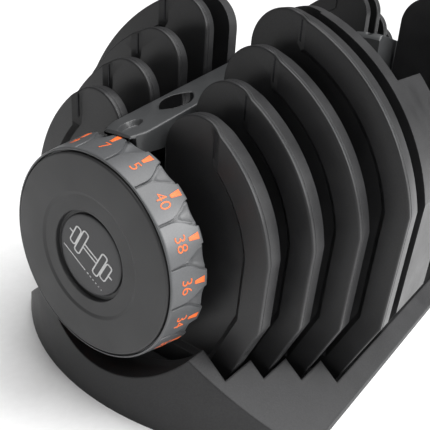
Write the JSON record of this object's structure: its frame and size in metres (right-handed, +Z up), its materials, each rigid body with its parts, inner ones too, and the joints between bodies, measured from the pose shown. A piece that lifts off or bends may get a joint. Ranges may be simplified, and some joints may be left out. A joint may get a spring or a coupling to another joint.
{
  "type": "adjustable dumbbell",
  "caption": "Dial-select adjustable dumbbell in its moulded storage tray, with lobed weight plates on both sides of a central grip.",
  "frame": {"origin": "under the middle of the tray, on the surface that it stands on", "axes": "+X along the grip towards the right dial, +Y across the grip, +Z up"},
  "size_m": [0.438, 0.2274, 0.1988],
  "materials": {
    "tray_polypropylene": "fine moulded texture, satin",
    "plate_cover_nylon": "fine moulded texture, satin",
    "plate_core_steel": "cast, black oxide",
    "dial_ring_abs": "satin moulded",
    "dial_face_abs": "soft satin moulded",
    "badge_abs": "satin moulded",
    "marking_ink": "pad-printed orange ink",
    "bridge_abs": "semi-gloss moulded",
    "window_acrylic": "gloss",
    "guard_abs": "satin moulded",
    "grip_rubber": "moulded rubber",
    "ground_steel": "ground and zinc plated",
    "hub_nylon": "moulded glass-filled nylon",
    "disc_acetal": "moulded acetal",
    "bush_bronze": "sintered bronze",
    "foot_rubber": "soft rubber"
  },
  "bodies": {
    "tray": {"tray_shell": "tray_polypropylene", "tray_feet": "foot_rubber", "tray_screws": "ground_steel", "tray_dividers_left": "tray_polypropylene", "tray_dividers_right": "tray_polypropylene", "unlock_posts": "hub_nylon", "plate_b_cover_left": "plate_cover_nylon", "plate_b_core_left": "plate_core_steel", "plate_c_cover_left": "plate_cover_nylon", "plate_c_core_left": "plate_core_steel", "plate_d_cover_left": "plate_cover_nylon", "plate_d_core_left": "plate_core_steel", "plate_e_cover_left": "plate_cover_nylon", "plate_e_core_left": "plate_core_steel", "plate_b_cover_right": "plate_cover_nylon", "plate_b_core_right": "plate_core_steel", "plate_c_cover_right": "plate_cover_nylon", "plate_c_core_right": "plate_core_steel", "plate_d_cover_right": "plate_cover_nylon", "plate_d_core_right": "plate_core_steel", "plate_e_cover_right": "plate_cover_nylon", "plate_e_core_right": "plate_core_steel"},
    "handle": {"axle": "ground_steel", "axle_nuts": "ground_steel", "grip_tube": "ground_steel", "grip_rubber": "grip_rubber", "guard_left": "guard_abs", "bridge_left": "bridge_abs", "window_left": "window_acrylic", "guard_right": "guard_abs", "bridge_right": "bridge_abs", "window_right": "window_acrylic", "bridge_screws": "ground_steel", "detent_plungers": "ground_steel", "detent_springs": "ground_steel", "pawl_spring_left": "ground_steel", "pawl_spring_right": "ground_steel"},
    "dial_left": {"dial_ring_left": "dial_ring_abs", "dial_face_left": "dial_face_abs", "dial_badge_left": "badge_abs", "hub_left": "hub_nylon", "selector_discs_left": "disc_acetal", "lock_ring_left": "ground_steel", "hub_bushes_left": "bush_bronze", "dial_screws_left": "ground_steel"},
    "dial_right": {"dial_ring_right": "dial_ring_abs", "dial_face_right": "dial_face_abs", "dial_badge_right": "badge_abs", "hub_right": "hub_nylon", "selector_discs_right": "disc_acetal", "lock_ring_right": "ground_steel", "hub_bushes_right": "bush_bronze", "dial_screws_right": "ground_steel"},
    "plate_a_left": {"plate_a_cover_left": "plate_cover_nylon", "plate_a_core_left": "plate_core_steel"},
    "plate_a_right": {"plate_a_cover_right": "plate_cover_nylon", "plate_a_core_right": "plate_core_steel"},
    "lock_pawl_left": {"lock_pawl_left": "ground_steel"},
    "lock_pawl_right": {"lock_pawl_right": "ground_steel"}
  },
  "joints": [
    {"name": "handle_lift", "type": "slide", "parent": "tray", "child": "handle", "axis": [0, 0, 1], "range_m": [0, 0.25]},
    {"name": "dial_turn_left", "type": "hinge", "parent": "handle", "child": "dial_left", "pos_m": [-0.15, 0, 0.088], "axis": [1, 0, 0], "continuous": true},
    {"name": "plate_a_lift_left", "type": "slide", "parent": "tray", "child": "plate_a_left", "axis": [0, 0, 1], "range_m": [0, 0.25]},
    {"name": "pawl_drop_left", "type": "slide", "parent": "handle", "child": "lock_pawl_left", "axis": [0, 0, -1], "range_m": [0, 0.0025], "deforming": ["pawl_spring_left"]},
    {"name": "dial_turn_right", "type": "hinge", "parent": "handle", "child": "dial_right", "pos_m": [0.15, 0, 0.088], "axis": [-1, 0, 0], "continuous": true},
    {"name": "plate_a_lift_right", "type": "slide", "parent": "tray", "child": "plate_a_right", "axis": [0, 0, 1], "range_m": [0, 0.25]},
    {"name": "pawl_drop_right", "type": "slide", "parent": "handle", "child": "lock_pawl_right", "axis": [0, 0, -1], "range_m": [0, 0.0025], "deforming": ["pawl_spring_right"]}
  ],
  "couplings": [
    {"joint": "plate_a_lift_left", "follows": "handle_lift", "ratio": 1},
    {"joint": "pawl_drop_left", "follows": "handle_lift", "ratio": 0.01},
    {"joint": "plate_a_lift_right", "follows": "handle_lift", "ratio": 1},
    {"joint": "pawl_drop_right", "follows": "handle_lift", "ratio": 0.01}
  ]
}
